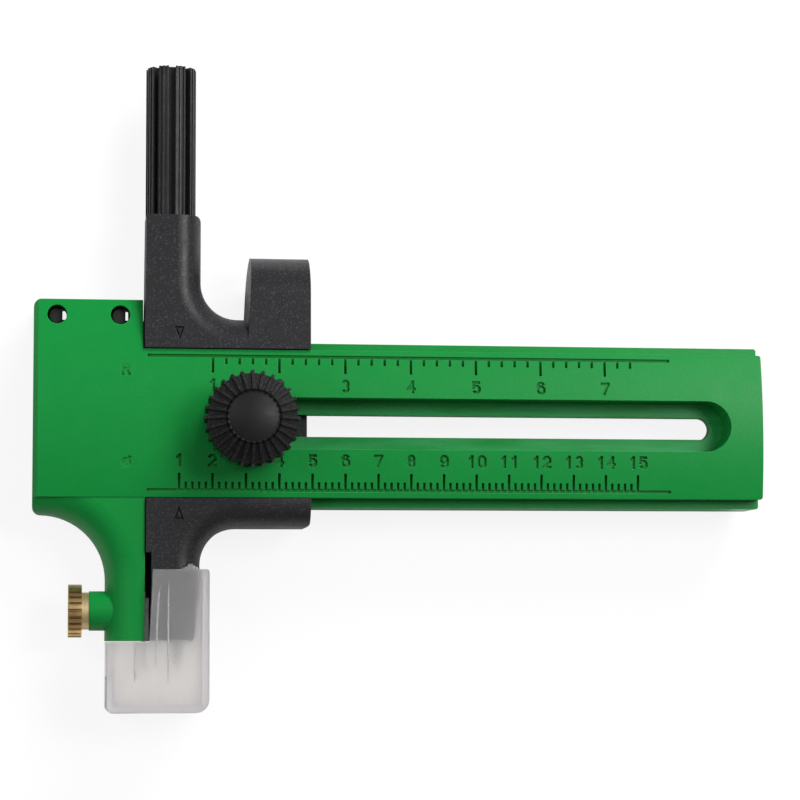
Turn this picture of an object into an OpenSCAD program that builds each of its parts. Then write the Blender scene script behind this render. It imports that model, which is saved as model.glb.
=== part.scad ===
// Compass cutter, lying on its back.
// A slotted arm with two engraved scales carries a blade on its leg. A slider with the pivot needle
// and a twirling grip runs along the arm and is clamped by a knob. A clear cap covers both points.
// In the module bodies x = 0 is the plane of the cutting edge, y = 0 the arm's centreline and z = 0 the
// surface that the back rests on. placed() moves that to the middle of the whole tool. Millimetres.

/* [Arm] */
// Distance that the slider travels along the arm
travel = 70; // [50:1:100]
// Width of the raised scale face
face_w = 22.3; // [21:0.1:26]
// Width of the guide rail on each side of the face
rail_w = 1.33; // [0.8:0.01:2.5]
// Step from the edges of the scale face down to the rails
rail_drop = 2.7; // [1.8:0.1:3.4]
// Thickness of the arm at the edges of the scale face
arm_t = 9.6; // [9.4:0.1:14]
// Width of the clamp slot
slot_w = 3.36; // [3.3:0.02:4.2]
// Width of the recess that the clamp washer runs in
recess_w = 7.78; // [7.2:0.02:9]
// Depth of that recess below the edges of the scale face
recess_depth = 3.6; // [3:0.1:4.2]
// How far the scale face rises from its edges to its middle
crown = 1; // [0.3:0.1:1.4]
// Thickness of the web under the recess
web_t = 2; // [1.5:0.1:2.6]
// Width of the guide channel in the arm's back
channel_w = 10.6; // [9:0.1:12]
// Slot left over at the end of the travel
slot_spare = 0.45; // [0.4:0.05:3]
// Solid arm beyond the recess
end_margin = 5.05; // [3:0.05:12]
// Radius of the corners at the free end
end_r = 0.4; // [0.2:0.05:1]

/* [Scale] */
// Distance of each scale line from the centreline
line_y = 10.1; // [9.6:0.05:10.6]
// Width of the scale lines
line_w = 0.46; // [0.2:0.02:0.6]
// Width of a tick
tick_w = 0.4; // [0.2:0.02:0.5]
// Length of a long tick
long_tick = 2.55; // [1.8:0.05:3.2]
// Length of a short tick
short_tick = 1.25; // [0.6:0.05:1.6]
// Depth of the engraving
engrave = 0.35; // [0.1:0.05:0.5]
// Step between ticks on the radius scale
radius_step = 2; // [1:1:5]
// Step between ticks on the diameter scale, as lengths on the arm
diameter_step = 1; // [0.5:0.5:2.5]
// Last tick of the radius scale
radius_last = 74; // [60:1:80]
// Scale line beyond the end of the last number
line_over = 5.2; // [1:0.1:8]
// Distance of the digits' centres from the centreline
digit_y = 5.65; // [5:0.05:6.2]
// Height of a digit
digit_h = 1.95; // [1.2:0.05:2.4]
// Width of a digit
digit_w = 1.4; // [0.8:0.05:1.5]
// Width of a digit's stroke
stroke = 0.42; // [0.2:0.02:0.44]
// Depth of the two faint scale marks on the head
mark_depth = 0.12; // [0.05:0.01:0.3]

/* [Head] */
// Distance of the head's left side from the blade
head_left = 16.7; // [15:0.1:24]
// Height of the head above the centreline
head_top = 18.7; // [17:0.05:24]
// Depth of the head below the centreline
head_bottom = 13.61; // [13.3:0.01:17]
// Depth of the pad on the head's back below the centreline
pad_low = 8.7; // [6:0.1:8.7]
// Radius of the head's corners
head_r = 1.2; // [0.4:0.1:2.5]
// Bevel of the head's left front edge
side_bevel = 0.7; // [0.3:0.1:1.2]
// Radius of the throat between head and leg
throat_r = 9.86; // [7:0.01:11]
// Gap between the head and the slider's left side
stop_gap = 0.2; // [0.1:0.05:0.5]
// Diameter of the two peg holes
peg_hole_d = 2.95; // [2.4:0.05:4]
// Distance of the first peg hole from the left side
peg_x = 3.47; // [3:0.01:5]
// Distance between the two peg holes
peg_pitch = 9.43; // [8:0.01:11]
// Distance of the peg holes from the head's top
peg_y = 2.38; // [2.1:0.01:4]
// Thickness of the front wall that the peg holes pass through
peg_wall = 4.9; // [3:0.1:6]

/* [Leg] */
// Width of the blade leg
leg_w = 5.76; // [5:0.01:8]
// Distance of the leg's bottom from the centreline
leg_len = 32.5; // [31.5:0.1:40]
// Rounding of the leg's and the throat's front edge
leg_round = 4.6; // [1.5:0.1:4.6]
// Bevel of the leg's and the throat's back edge
leg_bevel = 3; // [1:0.1:3]
// Step from the edge of the scale face down to the leg
leg_drop = 0.1; // [0.05:0.05:0.3]
// Depth of the working axis, through both points and the grip, below the edges of the scale face
axis_depth = 4.6; // [4.4:0.1:5]
// Distance of the clamp screw from the centreline
screw_y = 28; // [27.5:0.1:28.5]
// Diameter of the screw's boss
boss_d = 5.9; // [5:0.1:7]
// How far the boss stands out of the leg
boss_len = 2.36; // [1:0.02:5]

/* [Blade] */
// Thickness of a blade
blade_t = 0.38; // [0.25:0.01:0.6]
// Width of a blade
blade_w = 5.6; // [5:0.1:6.4]
// Length of a blade
blade_len = 12; // [10:0.1:14]
// Length of the pointed end
point_len = 3.8; // [2:0.1:6]
// Distance from a blade's flat end to the centre of its hole
blade_hole_y = 2.8; // [2.6:0.1:4]
// Number of spare blades
spare_count = 2; // [1:1:3]

/* [Blade clamp] */
// Thickness of the clamp nut's flange
flange_t = 0.5; // [0.3:0.01:0.55]
// Height of the flange above the screw's axis
flange_up = 1.9; // [1.85:0.05:2.5]
// Height of the flange below the screw's axis
flange_down = 4.4; // [3:0.1:4.5]
// Outer diameter of the nut's barrel
barrel_d = 3.4; // [3.2:0.1:3.6]
// Diameter of the screw's thread
thread_d = 2.5; // [2:0.1:2.6]
// Diameter over the ribs of the screw's head
head_d = 7.9; // [6:0.1:9]
// Thickness of the screw's head
head_t = 2; // [1.5:0.05:4]
// Number of ribs round the head
head_ribs = 24; // [12:1:32]
// Depth of the grooves between those ribs
groove_depth = 0.4; // [0.2:0.02:0.6]
// Width of those grooves
groove_w = 0.6; // [0.4:0.02:0.8]
// Diameter of the collar under the head
collar_d = 5.54; // [4.5:0.02:6]
// Thickness of the collar
collar_t = 1.1; // [0.6:0.05:2]

/* [Slider] */
// Length of the slider along the arm
slider_len = 25; // [24:0.1:32]
// Thickness of the slider's back plate
back_t = 2; // [1.6:0.1:3]
// Running gap all round the arm
slide_gap = 0.15; // [0.05:0.01:0.3]
// Gap between the slider's front lips and the sides of the scale face
lip_gap = 0.12; // [0.05:0.01:0.3]
// Wall above the upper rail
upper_wall = 3.35; // [2:0.01:5]
// Wall below the lower rail
lower_wall = 2.88; // [2:0.01:5]
// How far the back plate stands in from both walls
plate_inset = 1.5; // [1.2:0.1:2]
// How far the slider's front stands above the edges of the scale face
lip_rise = 0.4; // [0.1:0.05:1.2]
// Height of the grip's sleeve above the centreline
sleeve_top = 31.5; // [27:0.1:36]
// Width of the grip's sleeve
sleeve_w = 8.53; // [8:0.01:10]
// How much narrower the sleeve's left side makes it at its top
sleeve_draft = 0.2; // [0:0.05:0.4]
// Rounding of the sleeve's left back edge
sleeve_round = 4; // [1:0.1:4]
// Radius of the sleeve's top right corner
sleeve_corner = 0.9; // [0.3:0.1:1.5]
// Radius between sleeve and bar
sleeve_fillet = 5.5; // [3:0.05:5.6]
// Rounding of the slider's front edges
edge_round = 3.6; // [1.5:0.1:4]
// Bevel of the slider's back edges
back_bevel = 1.2; // [0.4:0.1:1.2]
// Distance of the thumb tab from the slider's left side
tab_x = 15.48; // [14.6:0.01:18]
// Height of the thumb tab above the centreline
tab_top = 25.8; // [22:0.1:28]
// Slant of the tab's left side
tab_slant = 0.67; // [0:0.01:1.5]
// Step of the lower half's left side beyond the upper one
lower_step = 0.32; // [0.3:0.01:0.6]
// Side of the needle leg towards the blade, from the blade's plane
needle_leg_x = 0.95; // [0.9:0.01:1.5]
// Width of the needle leg
needle_leg_w = 7.35; // [6.6:0.05:8.4]
// Thickness of the ledge behind the blade clamp
ledge_t = 1.6; // [0.8:0.1:2]
// Top of the room for the blade clamp in the needle leg, above the end of the leg
clamp_room = 13.1; // [12:0.1:14]
// How much narrower the needle leg is at its end
needle_leg_taper = 0.9; // [0:0.1:1.5]
// Radius between needle leg and bar
leg_fillet = 5.7; // [3:0.05:6]
// Radius of the slider's lower right corner
bar_corner = 0.6; // [0.3:0.1:1.5]
// Length of the pointer triangles
pointer_h = 2; // [1:0.1:2.2]
// Width of the pointer triangles
pointer_w = 1.5; // [1:0.02:1.8]
// Line width of the pointer triangles
pointer_line = 0.34; // [0.2:0.02:0.4]

/* [Pivot needle] */
// Smallest cutting radius, from the blade's plane to the needle
min_radius = 5; // [4.2:0.1:5.4]
// Diameter of the needle
needle_d = 1.8; // [1.2:0.1:2.4]
// How far the needle stands out of its leg
needle_out = 5; // [3:0.1:5.2]
// Length of the needle held in the leg
needle_seat = 12; // [6:0.5:14]
// Squeeze of pressed parts, on the radius
squeeze = 0.02; // [0.005:0.005:0.04]

/* [Grip] */
// Diameter of the ribbed grip
grip_d = 7.6; // [6.8:0.1:8]
// Distance of the grip's axis from the slider's left side
grip_x = 4; // [3.9:0.01:4.4]
// Length of the grip above the sleeve
grip_len = 23.1; // [15:0.1:35]
// Number of lobes round the grip
lobes = 9; // [6:1:10]
// Width of the groove between two lobes
lobe_gap = 1.05; // [0.6:0.05:1.2]
// Depth of the groove between two lobes
lobe_depth = 1.15; // [0.4:0.05:1.2]
// Width of the two fine grooves on a lobe
fine_w = 0.34; // [0.15:0.01:0.36]
// Depth of the fine grooves
fine_depth = 0.25; // [0.1:0.01:0.4]
// Diameter of the spigot pressed into the sleeve
spigot_d = 6.2; // [5:0.1:6.6]
// Length of that spigot
spigot_len = 9; // [5:0.1:12]

/* [Clamp knob] */
// Distance of the clamp bolt from the slider's left side
knob_x = 15.53; // [15:0.01:18]
// Diameter over the knob's ribs
knob_d = 14.3; // [12:0.1:18]
// Height of the ribs above the knob's side
rib_h = 0.5; // [0.2:0.05:0.8]
// Thickness of a rib
rib_t = 0.44; // [0.3:0.02:0.7]
// Number of ribs round the knob
knob_ribs = 28; // [16:1:36]
// Height of the knob's side
knob_side = 7.5; // [6:0.1:12]
// Height of the knob's cone
knob_cone = 2.3; // [1:0.1:4]
// Height of the dome on top
knob_dome = 0.6; // [0.4:0.1:2]
// Diameter of the dome
dome_d = 7.5; // [5:0.1:9]
// Draft of the knob's side, on the radius
knob_draft = 0.45; // [0:0.05:1]
// Gap between the knob and the middle of the scale face
knob_gap = 0.4; // [0.3:0.1:1.5]
// Diameter of the hub that presses on the washer
hub_d = 6.6; // [6:0.1:7]
// Diameter of the clamp bolt
bolt_d = 3; // [2.5:0.1:3.1]
// Width of the bolt's hexagon head and of the knob's nut across flats
hex_af = 5.5; // [5:0.1:6]
// Thickness of the bolt's head
hex_t = 2; // [1.5:0.1:2.4]
// Height of the nut above the knob's underside
nut_up = 1.5; // [0.6:0.1:1.6]
// Length of the nut in the knob
nut_len = 4; // [2:0.1:4]
// Length of the bolt beyond the nut
bolt_over = 1.2; // [0.4:0.1:1.3]
// Diameter of the washer
washer_d = 7; // [6.4:0.1:7.1]
// Thickness of the washer
washer_t = 0.5; // [0.3:0.05:1]
// Running gap of the bolt in washer and nut, on the radius
bolt_gap = 0.06; // [0.02:0.01:0.1]

/* [Storage cover] */
// Thickness of the cover's plate
cover_t = 1.4; // [1:0.1:1.8]
// Width of the head's rim round the cover
cover_rim = 0.6; // [0.4:0.1:1.5]
// Width of that rim at the pad's bottom
cover_foot = 2.2; // [1:0.1:4]
// Gap round the cover
cover_gap = 0.1; // [0.05:0.01:0.2]
// Radial gap of a peg's root in its hole
peg_gap = 0.05; // [0.02:0.01:0.1]
// Diameter of a peg's tip
peg_tip_d = 2.3; // [1.6:0.1:2.6]
// Distance of a peg's end below the edges of the scale face
peg_short = 3; // [2:0.1:4]
// Distance of the flat on a peg from its axis
peg_flat = 0.8; // [0.6:0.05:1]
// Gap round the spare blades
store_gap = 0.2; // [0.1:0.05:0.5]
// Depth of the space for the spare blades
store_depth = 2.2; // [2:0.1:3]

/* [Safety cap] */
// Wall of the cap
cap_wall = 1; // [0.7:0.05:1.4]
// Gap between the cap's walls and the needle leg
cap_gap = 0.3; // [0.26:0.01:0.5]
// Height of the grip ribs inside the cap
cap_rib_h = 0.24; // [0.1:0.01:0.24]
// Width of the grip ribs
cap_rib_w = 0.4; // [0.2:0.05:0.6]
// Length of the needle leg that the cap covers
cap_grip = 10.55; // [6:0.05:12]
// Distance of the cap's right side from the blade's plane
cap_right = 9.55; // [9.5:0.05:12]
// Step of the cap's left side in from the blade leg's side
cap_step = 0.2; // [0:0.05:0.4]
// Length of the cap beyond the legs
cap_below = 10.65; // [8:0.05:16]
// Gap between the blade leg and the cap's trough
cap_seat = 0.12; // [0.05:0.01:0.3]
// Radius of the cap's bottom left corner
cap_r_left = 0.9; // [0.3:0.1:2]
// Radius of the cap's bottom right corner
cap_r_right = 2; // [0.5:0.1:3]
// Room round the blade in the cap's side slit
slit_gap = 0.6; // [0.3:0.1:1]

/* [Hidden] */
$fn = 64;
e = 0.01;

// Heights above the resting surface
arm_back_z = back_t + slide_gap;
face_z = arm_back_z + arm_t;
rail_z = face_z - rail_drop;
floor_z = face_z - recess_depth;
channel_z = floor_z - web_t;
front_z = face_z + lip_rise;
axis_z = face_z - axis_depth;
leg_z = face_z - leg_drop;
middle_z = (arm_back_z + leg_z) / 2;
knob_z = face_z + crown + knob_gap;
rim_z = knob_z + knob_side;
cone_z = rim_z + knob_cone;
top_z = cone_z + knob_dome;

// Places along the arm
slider_x = -stop_gap;
head_right = slider_x - stop_gap;
slider_end = slider_x + slider_len;
bolt_x = slider_x + knob_x;
slot_end = bolt_x + travel + slot_spare;
arm_end = slot_end + recess_w / 2 + end_margin;
grip_cx = slider_x + grip_x;
leg_left = -leg_w;
boss_x = leg_left - boss_len;
throat = min(throat_r, head_left + leg_left - 0.5);

// Places across the arm
face_y = face_w / 2;
rail_y = face_y + rail_w;
bar_in = face_y + lip_gap;
rail_room = rail_y + slide_gap;
upper_out = rail_room + upper_wall;
lower_out = rail_room + lower_wall;
grip_top = sleeve_top + grip_len;
needle_tip = leg_len + needle_out;
blade_top = screw_y - blade_hole_y;
blade_tip = blade_top + blade_len;
cap_bottom = leg_len + cap_below;
cap_top = leg_len - cap_grip;
// Radius of the crowned scale face, across the arm
crown_r = (face_y * face_y + crown * crown) / (2 * crown);

// The part's origin: the middle of the whole tool, on the resting surface
origin_x = (arm_end - head_left) / 2;
origin_y = (grip_top - cap_bottom) / 2;

module placed() {
    translate([-origin_x, -origin_y, 0]) children();
}

// Solids and cuts that several parts share

// A cylinder along X from x0 to x1, on the working axis at height y
module along_x(x0, x1, y, d) {
    translate([x0, y, axis_z]) rotate([0, 90, 0]) cylinder(h = x1 - x0, d = d);
}

// A cylinder along Y from y0 to y1
module along_y(x, y0, y1, d) {
    translate([x, y1, axis_z]) rotate([90, 0, 0]) cylinder(h = y1 - y0, d = d);
}

// A hexagonal bar along Z, measured across its flats
module hexagon(x, z0, z1, af) {
    translate([x, 0, z0]) cylinder(h = z1 - z0, d = af / cos(30), $fn = 6);
}

// A box given by two corners
module span(a, b) {
    translate(a) cube(b - a);
}

// A rectangle with rounded corners, given by two opposite corners
module round_plate(a, b, r) {
    difference() {
        translate(a) square(b - a);
        for (sx = [0, 1], sy = [0, 1])
            translate([sx ? b.x : a.x, sy ? b.y : a.y])
                mirror([sx, 0]) mirror([0, sy]) corner_waste(r);
    }
}

// What rounding a corner takes away: the corner is at the origin and the material lies towards + and +
module corner_waste(r) {
    difference() {
        translate([-1, -1]) square([r + 1, r + 1]);
        translate([r, r]) circle(r);
        translate([-2, r - e]) square([r + 3, 2]);
        translate([r - e, -2]) square([2, r + 3]);
    }
}

// The same for a bevel
module bevel_waste(r) {
    polygon([[-1, -1], [r, -1], [r, 0], [0, r], [-1, r]]);
}

// What rounding the front edge of an L takes away. The L's upright has its side at x and ends at y_end,
// its bar has its top at y and ends at x_end, and a fillet of radius rf joins them. Where bevelled is
// true, the edge gets a bevel instead.
module edge_waste(x, y, rf, x_end, y_end, z, r, bevelled = false) {
    translate([x, y_end, z]) rotate([90, 0, 0]) linear_extrude(y_end - y - rf)
        mirror([1, 0]) mirror([0, 1]) edge_shape(r, bevelled);
    translate([x + rf, y + rf, z]) rotate(180) rotate_extrude(angle = 90)
        intersection() {
            translate([rf, 0]) mirror([0, 1]) edge_shape(r, bevelled);
            translate([e, -50]) square([100, 100]);
        }
    translate([x + rf, y, z]) rotate([90, 0, 90]) linear_extrude(x_end - x - rf)
        mirror([1, 0]) mirror([0, 1]) edge_shape(r, bevelled);
}

module edge_shape(r, bevelled) {
    if (bevelled) bevel_waste(r);
    else corner_waste(r);
}

// The fillet itself, in the corner between the upright's side and the bar's top
module fillet_2d(x, y, r) {
    difference() {
        translate([x - e, y - e]) square([r + e, r + e]);
        translate([x + r, y + r]) circle(r);
    }
}

// Digits, drawn in strokes inside a box of digit_w by digit_h around the origin

function half_w() = (digit_w - stroke) / 2;
function half_h() = (digit_h - stroke) / 2;

module stroke_line(a, b) {
    d = b - a;
    n = [-d.y, d.x] * stroke / 2 / norm(d);
    t = d * stroke / 2 / norm(d);
    polygon([a - t + n, a - t - n, b + t - n, b + t + n]);
}

// Digits are so small that their rings are drawn with few sides
function ring_points(r, sides = 8) = [for (i = [0:sides - 1])
    r / cos(180 / sides) * [cos((i + 0.5) * 360 / sides), sin((i + 0.5) * 360 / sides)]];

module stroke_ring(c, r) {
    translate(c) difference() {
        polygon(ring_points(r + stroke / 2));
        polygon(ring_points(r - stroke / 2));
    }
}

module stroke_arc(c, r, from, to) {
    intersection() {
        stroke_ring(c, r);
        translate(c) polygon(concat([[0, 0]], [for (i = [0:4]) let (a = from + (to - from) * i / 4)
            [2 * r * cos(a), 2 * r * sin(a)]]));
    }
}

module digit(n) {
    w = half_w();
    h = half_h();
    if (n == 0) {
        stroke_arc([0, h - w], w, 0, 180);
        stroke_arc([0, w - h], w, 180, 360);
        stroke_line([-w, w - h], [-w, h - w]);
        stroke_line([w, w - h], [w, h - w]);
    }
    if (n == 1) {
        stroke_line([0.1, -h], [0.1, h]);
        stroke_line([-0.25, h - 0.3], [0.1, h]);
    }
    if (n == 2) {
        stroke_arc([0, h - w], w, -35, 170);
        stroke_line([w * 0.75, h - w * 1.5], [-w, -h]);
        stroke_line([-w, -h], [w, -h]);
    }
    if (n == 3) {
        stroke_arc([0, h / 2], h / 2, -90, 160);
        stroke_arc([0, -h / 2], h / 2, -160, 90);
    }
    if (n == 4) {
        stroke_line([w * 0.5, -h], [w * 0.5, h]);
        stroke_line([w * 0.5, h], [-w, -h * 0.4]);
        stroke_line([-w, -h * 0.4], [w, -h * 0.4]);
    }
    if (n == 5) {
        stroke_line([-w * 0.8, h], [w * 0.8, h]);
        stroke_line([-w * 0.8, h], [-w, 0]);
        stroke_arc([-0.02, -h + w * 1.05], w, -150, 130);
    }
    if (n == 6 || n == 9) rotate(n == 9 ? 180 : 0) {
        stroke_ring([0, w - h], w);
        stroke_line([-w, w - h], [-w, h - w]);
        stroke_arc([0, h - w], w, 25, 180);
    }
    if (n == 7) {
        stroke_line([-w, h], [w, h]);
        stroke_line([w, h], [-w * 0.3, -h]);
    }
    if (n == 8) for (s = [-1, 1]) stroke_ring([0, s * h / 2], h / 2);
}

module number(n) {
    pitch = digit_w + stroke / 2;
    if (n < 10) digit(n);
    else {
        translate([-pitch / 2, 0]) digit(floor(n / 10));
        translate([pitch / 2, 0]) digit(n % 10);
    }
}

// The two marks that say which scale is which: an R for radius and a crossed circle for diameter
module radius_mark() {
    w = half_w();
    h = half_h();
    stroke_line([-w, -h], [-w, h]);
    stroke_line([-w, h], [0, h]);
    stroke_line([-w, 0], [0, 0]);
    stroke_arc([0, h / 2], h / 2, -90, 90);
    stroke_line([0, 0], [w, -h]);
}

module diameter_mark() {
    w = half_w();
    stroke_ring([0, 0], w);
    stroke_line([-w, -w * 1.5], [w, w * 1.5]);
}

// Lines and ticks of both scales
module scale_lines() {
    line_from = 0.2;
    line_to = min_radius + travel + line_over;
    for (s = [-1, 1]) translate([line_from, s * line_y - line_w / 2]) square([line_to - line_from, line_w]);
    for (x = [10:radius_step:radius_last])
        translate([x - tick_w / 2, 0]) {
            len = x % 10 == 0 ? long_tick : short_tick;
            translate([0, line_y - len]) square([tick_w, len]);
        }
    for (x = [min_radius:diameter_step:min_radius + travel])
        translate([x - tick_w / 2, -line_y]) square([tick_w, x % 5 == 0 ? long_tick : short_tick]);
}

module scale_numbers() {
    for (n = [1:floor(radius_last / 10)]) translate([10 * n, digit_y]) number(n);
    for (n = [1:floor((min_radius + travel) / 5)]) translate([5 * n, -digit_y]) number(n);
}

// The arm, its head and its leg: one moulding

// The head above the given depth below the centreline
module head_2d(low) {
    translate([-head_left, -low]) square([head_left + head_right, low + head_top]);
}

module head_corners() {
    translate([-head_left, head_top]) mirror([0, 1]) corner_waste(head_r);
    // The lower left corner ends where the throat's arc begins
    intersection() {
        translate([-head_left, -head_bottom]) corner_waste(head_r);
        translate([-head_left - 1, -head_bottom - 1]) square([head_left + leg_left - throat + 1, head_r + 1]);
    }
}

// The throat and the leg
module leg_2d() {
    translate([leg_left, -leg_len]) square([leg_w, leg_len - face_y]);
    mirror([1, 0]) mirror([0, 1]) fillet_2d(leg_w, head_bottom, throat);
}

// Height of the crowned face at a distance from the centreline
function crown_at(y) = face_z + crown - crown_r + sqrt(crown_r * crown_r - y * y);

// The cylinder along X that gives the scale face its crown
module crown_bar() {
    translate([-head_left - 1, 0, face_z + crown - crown_r]) rotate([0, 90, 0])
        cylinder(h = arm_end + head_left + 2, r = crown_r, $fn = 360);
}

// What the bevel of the head's left front edge takes away, along the crown
module side_waste() {
    translate([-head_left, 0, face_z + crown - crown_r]) rotate([0, 90, 0]) rotate_extrude($fn = 360)
        translate([crown_r, 0]) mirror([1, 0]) bevel_waste(side_bevel);
}

// What the edge treatment takes away that runs along the head's bottom, the throat and the leg
module leg_waste(z, r, bevelled) {
    mirror([1, 0, 0]) mirror([0, 1, 0])
        edge_waste(leg_w, head_bottom, throat, head_left + 1, leg_len + 1, z, r, bevelled);
}

module arm_2d(half) {
    difference() {
        translate([head_right - e, -half]) square([arm_end - head_right + e, 2 * half]);
        for (s = [0, 1]) mirror([0, s]) translate([arm_end, -half]) mirror([1, 0]) corner_waste(end_r);
    }
}

// A slot along the arm from x0 to the far end of the travel, with a round end
module long_slot(x0, w, z0, z1) {
    span([x0, -w / 2, z0], [slot_end, w / 2, z1]);
    translate([slot_end, 0, z0]) cylinder(h = z1 - z0, d = w);
    translate([x0, 0, z0]) cylinder(h = z1 - z0, d = w);
}

module peg_places() {
    for (i = [0, 1]) translate([peg_x - head_left + i * peg_pitch, head_top - peg_y, 0]) children();
}

// The rebate in the head's back that the cover lies in, as two opposite corners
cover_a = [-head_left + cover_rim, -pad_low + cover_foot];
cover_b = [head_right - cover_rim, head_top - cover_rim];
store_w = blade_w + 2 * store_gap;
store_len = blade_len + 2 * store_gap;
store_x = (cover_a.x + cover_b.x) / 2;
store_y = head_top - 2 * peg_y - store_len / 2 - 1;

module arm_body() color("#1f9a45") placed() difference() {
    union() {
        difference() {
            union() {
                // The head's lower edge, the throat and the leg
                difference() {
                    translate([0, 0, arm_back_z]) linear_extrude(leg_z - arm_back_z) {
                        head_2d(head_bottom);
                        leg_2d();
                    }
                    leg_waste(leg_z, leg_round, false);
                    translate([-head_left - 1, e - face_y, middle_z + 0.5])
                        cube([head_left + 2, head_top + face_y + 1, arm_t]);
                }
                // The crowned face of head and arm
                intersection() {
                    translate([0, 0, middle_z]) linear_extrude(arm_t) {
                        translate([-head_left, -face_y]) square([head_left + head_right, face_y + head_top]);
                        arm_2d(face_y);
                    }
                    crown_bar();
                }
                // The head rests on a pad, so that the leg stops short of the resting surface
                linear_extrude(arm_back_z + e) head_2d(pad_low);
            }
            translate([0, 0, -1]) linear_extrude(face_z + 4) head_corners();
            translate([0, 0, arm_back_z]) mirror([0, 0, 1]) leg_waste(0, leg_bevel, true);
            side_waste();
        }
        translate([0, 0, arm_back_z]) linear_extrude(rail_z - arm_back_z) arm_2d(rail_y);
        along_x(boss_x, leg_left + leg_w / 2, -screw_y, boss_d);
    }
    // Slot, recess and guide channel
    long_slot(bolt_x, slot_w, arm_back_z - 1, face_z + crown + 1);
    long_slot(bolt_x, recess_w, floor_z, face_z + crown + 1);
    span([head_right + e, -channel_w / 2, arm_back_z - 1], [arm_end + 1, channel_w / 2, channel_z]);
    // Scales
    translate([0, 0, crown_at(line_y) - engrave]) linear_extrude(crown + 1) scale_lines();
    translate([0, 0, crown_at(digit_y) - engrave]) linear_extrude(crown + 1) scale_numbers();
    translate([-3, 8, crown_at(8) - mark_depth]) linear_extrude(1) radius_mark();
    translate([-2.9, -6, crown_at(6) - mark_depth]) linear_extrude(1) diameter_mark();
    // Cover rebate, peg holes and spare blade space
    translate([0, 0, -1]) linear_extrude(cover_t + 1) round_plate(cover_a, cover_b, head_r);
    peg_places() translate([0, 0, -1]) cylinder(h = face_z + 2, d = peg_hole_d);
    peg_places() cube([peg_hole_d / 2, peg_y - cover_rim, face_z - peg_wall]);
    span([store_x - store_w / 2, store_y - store_len / 2, 0],
         [store_x + store_w / 2, store_y + store_len / 2, cover_t + store_depth]);
    // Blade seat and the bores for clamp nut and screw
    span([-blade_t / 2, -leg_len - 1, axis_z - blade_w / 2 - store_gap],
         [1, -blade_top + store_gap, axis_z + blade_w / 2 + store_gap]);
    along_x(leg_left + 0.5, 1, -screw_y, barrel_d + 2 * bolt_gap);
    along_x(boss_x - 1, 0, -screw_y, thread_d + 4 * bolt_gap);
}

// The cover in the head's back, with two pegs in the peg holes and a pad that holds the spare blades
module storage_cover() color("#2b2b2e") placed() {
    difference() {
        linear_extrude(cover_t)
            round_plate(cover_a + [cover_gap, cover_gap], cover_b - [cover_gap, cover_gap], head_r);
        // Mould openings beside the pegs
        peg_places() translate([peg_flat, 0.3, -1])
            cube([peg_hole_d / 2 - peg_flat, peg_y - cover_rim - cover_gap - 0.3 + 1, cover_t + 2]);
        // Nail notch
        translate([store_x, cover_a.y, -0.4]) rotate([0, 90, 0]) cylinder(h = 5, d = 2, center = true);
    }
    peg_places() difference() {
        union() {
            translate([0, 0, cover_t - e])
                cylinder(h = face_z - peg_wall - cover_t, d = peg_hole_d - 2 * peg_gap);
            translate([0, 0, cover_t - e]) cylinder(h = face_z - peg_short - cover_t, d = peg_tip_d);
        }
        translate([peg_flat, -peg_hole_d, 0]) cube([peg_hole_d, 2 * peg_hole_d, face_z]);
    }
    pad_h = store_depth - spare_count * (blade_t + e) - 0.05;
    translate([store_x - store_w / 4, store_y - store_len / 4, cover_t - e])
        cube([store_w / 2, store_len / 2, pad_h + e]);
}

// Blade outline: a flat end at the top, a hole and a central point
module blade_2d() {
    difference() {
        polygon([[-blade_w / 2, blade_hole_y], [blade_w / 2, blade_hole_y],
                 [blade_w / 2, blade_hole_y - blade_len + point_len], [0, blade_hole_y - blade_len],
                 [-blade_w / 2, blade_hole_y - blade_len + point_len]]);
        circle(d = barrel_d + 4 * bolt_gap);
    }
}

module cutting_blade() color("#c8ccd0") placed()
    translate([-blade_t / 2, -screw_y, axis_z]) rotate([0, 90, 0]) linear_extrude(blade_t) blade_2d();

module spare_blades() color("#c8ccd0") placed()
    for (i = [0:spare_count - 1])
        translate([store_x, store_y + blade_len / 2 - blade_hole_y,
                   cover_t + store_depth - (i + 1) * (blade_t + e)])
            linear_extrude(blade_t) blade_2d();

// The nut that draws the blade against the leg: a flange over the blade and a barrel through it
module clamp_nut() color("#b9bcc0") placed() difference() {
    union() {
        span([blade_t / 2, -screw_y - flange_down, axis_z - blade_w / 2],
             [blade_t / 2 + flange_t, -screw_y + flange_up, axis_z + blade_w / 2]);
        along_x(leg_left + 1, blade_t / 2 + e, -screw_y, barrel_d);
    }
    along_x(leg_left, blade_t / 2 + flange_t + 1, -screw_y, thread_d + 2 * bolt_gap);
}

module clamp_collar() color("#c9a24a") placed() difference() {
    along_x(boss_x - collar_t, boss_x, -screw_y, collar_d);
    along_x(boss_x - collar_t - 1, boss_x + 1, -screw_y, thread_d + 2 * bolt_gap);
}

module clamp_screw() color("#c9a24a") placed() {
    translate([boss_x - collar_t - head_t, -screw_y, axis_z]) rotate([0, 90, 0]) linear_extrude(head_t)
        difference() {
            circle(d = head_d);
            for (i = [0:head_ribs - 1]) rotate(i * 360 / head_ribs)
                polygon([[head_d / 2 + 1, groove_w], [head_d / 2 - groove_depth, groove_w / 6],
                         [head_d / 2 - groove_depth, -groove_w / 6], [head_d / 2 + 1, -groove_w]]);
        }
    along_x(boss_x - collar_t - e, blade_t / 2, -screw_y, thread_d);
}

// The slider: a back plate, two bars that hold the rails, the grip's sleeve, the thumb tab and the needle leg

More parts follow.
